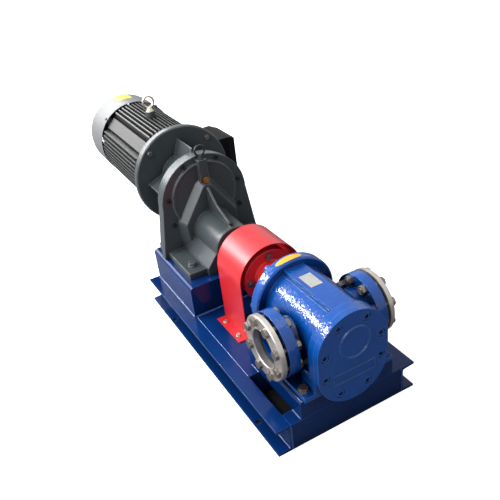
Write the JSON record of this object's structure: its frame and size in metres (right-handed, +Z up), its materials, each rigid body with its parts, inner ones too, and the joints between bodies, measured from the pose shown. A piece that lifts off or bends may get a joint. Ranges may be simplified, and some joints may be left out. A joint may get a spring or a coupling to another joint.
{
  "type": "fuel oil gear pump set",
  "caption": "Gear pump for fuel oil on a channel base, driven through a guarded pin coupling by an inline reduction gearbox and a fan-cooled motor.",
  "frame": {"origin": "centre of the four anchor holes, on the floor plane", "axes": "+X along the shafts, out of the pump's front cover; +Y to the side with the terminal box; +Z up"},
  "size_m": [1.755, 0.504, 0.693],
  "materials": {
    "base_blue": "gloss",
    "pump_blue": "gloss",
    "guard_red": "satin",
    "coupling_red": "satin",
    "gearbox_grey": "satin",
    "motor_grey": "satin",
    "cowl_grey": "satin",
    "box_black": "matt",
    "flange_steel": "turned",
    "bolt_zinc": "zinc plated",
    "bolt_dark": "black",
    "shaft_steel": "ground",
    "gear_steel": "machined",
    "bearing_bronze": "machined",
    "plug_brass": "bright",
    "seal_rubber": "matt",
    "core_steel": "laminated",
    "fan_plastic": "matt"
  },
  "bodies": {
    "pump_set": {"left_channel": "base_blue", "right_channel": "base_blue", "front_cross_channel": "base_blue", "middle_cross_channel": "base_blue", "rear_cross_channel": "base_blue", "deck_plate": "base_blue", "gearbox_pedestal": "base_blue", "left_pump_stool": "base_blue", "right_pump_stool": "base_blue", "pump_casing": "pump_blue", "front_cover": "pump_blue", "pump_cover_screws": "pump_blue", "rear_cover": "pump_blue", "front_bearing_block": "bearing_bronze", "rear_bearing_block": "bearing_bronze", "shaft_seal": "seal_rubber", "foot_bolts": "bolt_zinc", "inlet_gasket": "seal_rubber", "outlet_gasket": "seal_rubber", "inlet_companion_flange": "flange_steel", "outlet_companion_flange": "flange_steel", "inlet_flange_bolts": "bolt_zinc", "outlet_flange_bolts": "bolt_zinc", "coupling_guard": "guard_red", "guard_bolts": "bolt_zinc", "gearbox_housing": "gearbox_grey", "gearbox_screws": "bolt_dark", "motor_adapter": "gearbox_grey", "gearbox_bearings": "shaft_steel", "output_seal": "seal_rubber", "breather_plug": "plug_brass", "gearbox_eyebolt": "bolt_dark", "adapter_bolts": "bolt_zinc", "motor_frame": "motor_grey", "stator_core": "core_steel", "front_end_shield": "motor_grey", "rear_end_shield": "motor_grey", "motor_bearings": "shaft_steel", "fan_cowl": "cowl_grey", "cowl_screws": "bolt_dark", "motor_eyebolt": "bolt_zinc", "terminal_box": "box_black", "terminal_box_lid": "box_black", "cable_gland": "bolt_dark"},
    "motor_rotor": {"motor_shaft": "shaft_steel", "rotor_core": "core_steel", "cooling_fan": "fan_plastic"},
    "intermediate_stage": {"intermediate_shaft": "gear_steel", "intermediate_wheel": "gear_steel"},
    "output_line": {"output_shaft": "shaft_steel", "output_wheel": "gear_steel", "gearbox_coupling_half": "coupling_red"},
    "pump_drive": {"drive_shaft": "shaft_steel", "drive_gear": "gear_steel", "drive_gear_key": "shaft_steel", "pump_coupling_half": "coupling_red", "coupling_pins": "bolt_dark", "coupling_sleeves": "seal_rubber"},
    "pump_idler": {"driven_shaft": "shaft_steel", "driven_gear": "gear_steel"}
  },
  "joints": [
    {"name": "motor_spin", "type": "hinge", "parent": "pump_set", "child": "motor_rotor", "pos_m": [-0.848, 0, 0.441], "axis": [1, 0, 0], "continuous": true},
    {"name": "intermediate_spin", "type": "hinge", "parent": "pump_set", "child": "intermediate_stage", "pos_m": [-0.428, 0.05179, 0.3736], "axis": [1, 0, 0], "continuous": true},
    {"name": "output_spin", "type": "hinge", "parent": "pump_set", "child": "output_line", "pos_m": [-0.248, 0, 0.3], "axis": [1, 0, 0], "continuous": true},
    {"name": "drive_gear_spin", "type": "hinge", "parent": "pump_set", "child": "pump_drive", "pos_m": [0.152, 0, 0.3], "axis": [1, 0, 0], "continuous": true},
    {"name": "driven_gear_spin", "type": "hinge", "parent": "pump_set", "child": "pump_idler", "pos_m": [0.328, 0, 0.204], "axis": [1, 0, 0], "continuous": true}
  ],
  "couplings": [
    {"joint": "intermediate_spin", "follows": "motor_spin", "ratio": -0.25},
    {"joint": "output_spin", "follows": "motor_spin", "ratio": 0.090909},
    {"joint": "drive_gear_spin", "follows": "motor_spin", "ratio": 0.090909},
    {"joint": "driven_gear_spin", "follows": "motor_spin", "ratio": -0.090909}
  ]
}
